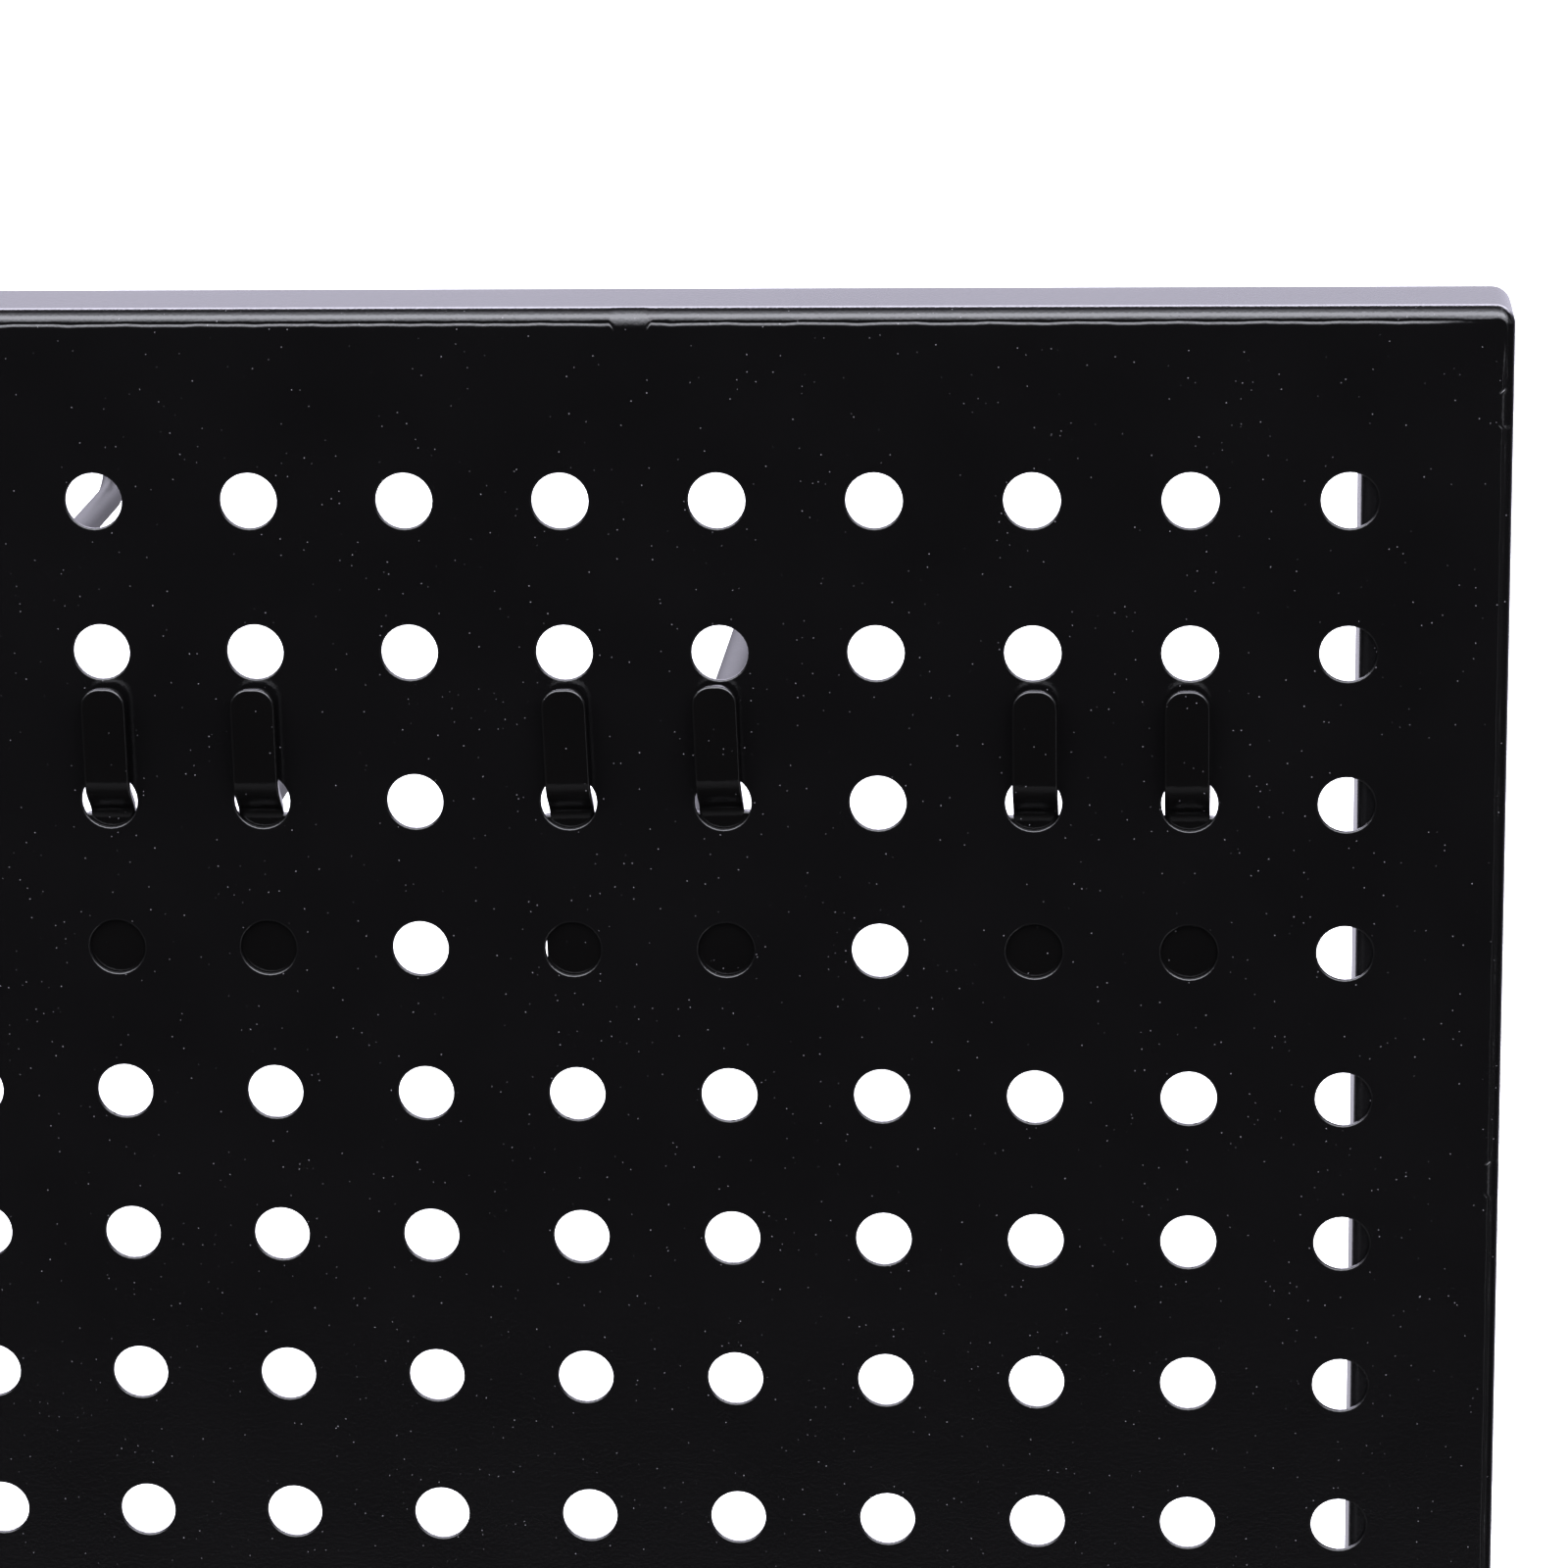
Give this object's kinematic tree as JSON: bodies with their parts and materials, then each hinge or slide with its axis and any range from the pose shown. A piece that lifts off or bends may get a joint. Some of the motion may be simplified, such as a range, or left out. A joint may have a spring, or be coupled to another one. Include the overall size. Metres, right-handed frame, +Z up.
{
  "type": "pegboard tool wall",
  "caption": "Perforated folded-steel tool panel on square-tube uprights, with long double-tab hooks that hang in its round holes.",
  "frame": {"origin": "between the two uprights, on the plane of their faces that bear on the bench back, level with their lower ends", "axes": "+X to the right when the smooth outer face is looked at, -Y out of that smooth face, +Y the side the hooks reach out to, +Z up"},
  "size_m": [0.3918, 0.3835, 0.674],
  "materials": {
    "powder_black": "semi-gloss black powder coat",
    "hook_black": "semi-gloss black coating",
    "plug_plastic": "moulded black plastic",
    "zinc_steel": "bright zinc plate"
  },
  "bodies": {
    "wall": {"panel": "powder_black", "upright_left": "powder_black", "upright_right": "powder_black", "plug_top_left": "plug_plastic", "plug_top_right": "plug_plastic", "plug_foot_left": "plug_plastic", "plug_foot_right": "plug_plastic", "panel_screw_left_1": "zinc_steel", "panel_screw_left_2": "zinc_steel", "panel_screw_right_1": "zinc_steel", "panel_screw_right_2": "zinc_steel", "weld_nut_left_1": "zinc_steel", "weld_nut_left_2": "zinc_steel", "weld_nut_right_1": "zinc_steel", "weld_nut_right_2": "zinc_steel", "bench_screw_left_1": "zinc_steel", "bench_screw_left_2": "zinc_steel", "bench_screw_right_1": "zinc_steel", "bench_screw_right_2": "zinc_steel", "bench_washer_left_1": "zinc_steel", "bench_washer_left_2": "zinc_steel", "bench_washer_right_1": "zinc_steel", "bench_washer_right_2": "zinc_steel"},
    "hook_1": {"hook_1_plate": "hook_black", "hook_1_rod": "hook_black"},
    "hook_2": {"hook_2_plate": "hook_black", "hook_2_rod": "hook_black"},
    "hook_3": {"hook_3_plate": "hook_black", "hook_3_rod": "hook_black"},
    "hook_4": {"hook_4_plate": "hook_black", "hook_4_rod": "hook_black"}
  },
  "joints": [
    {"name": "hook_1_tilt", "type": "hinge", "parent": "wall", "child": "hook_1", "pos_m": [-0.12375, -0.0257, 0.579], "axis": [1, 0, 0], "range_deg": [0, 45]},
    {"name": "hook_2_tilt", "type": "hinge", "parent": "wall", "child": "hook_2", "pos_m": [-0.04125, -0.0257, 0.579], "axis": [1, 0, 0], "range_deg": [0, 45]},
    {"name": "hook_3_tilt", "type": "hinge", "parent": "wall", "child": "hook_3", "pos_m": [0.04125, -0.0257, 0.5794], "axis": [0.9997, 0, 0.0244], "range_deg": [0, 45]},
    {"name": "hook_4_tilt", "type": "hinge", "parent": "wall", "child": "hook_4", "pos_m": [0.12375, -0.0257, 0.579], "axis": [1, 0, 0], "range_deg": [0, 45]}
  ]
}
